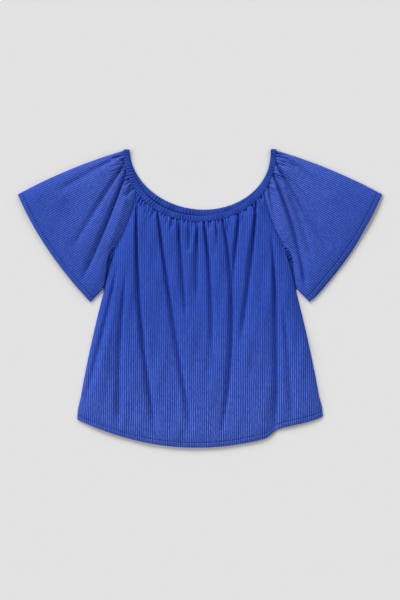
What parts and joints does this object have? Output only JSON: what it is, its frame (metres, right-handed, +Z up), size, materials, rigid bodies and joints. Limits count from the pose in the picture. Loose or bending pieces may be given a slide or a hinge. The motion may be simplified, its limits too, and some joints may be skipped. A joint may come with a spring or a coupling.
{
  "type": "blouse",
  "caption": "Off-shoulder blouse in blue cotton with fine pale stripes, laid flat with its front up: elastic neckband, loose raglan sleeves and a curved hem",
  "frame": {"origin": "on the table, under the middle of the garment's box", "axes": "+X to the wearer's left, +Y from the hem towards the neckband, +Z up from the table"},
  "size_m": [0.832, 0.6812, 0.007],
  "materials": {
    "striped_cotton": "matt woven cotton, royal blue with fine pale stripes",
    "band_cotton": "matt woven cotton, gathered over elastic"
  },
  "bodies": {
    "root": {"front_panel": "striped_cotton", "back_panel": "striped_cotton", "sleeve_right": "striped_cotton", "sleeve_left": "striped_cotton", "neckband": "band_cotton"}
  },
  "joints": []
}
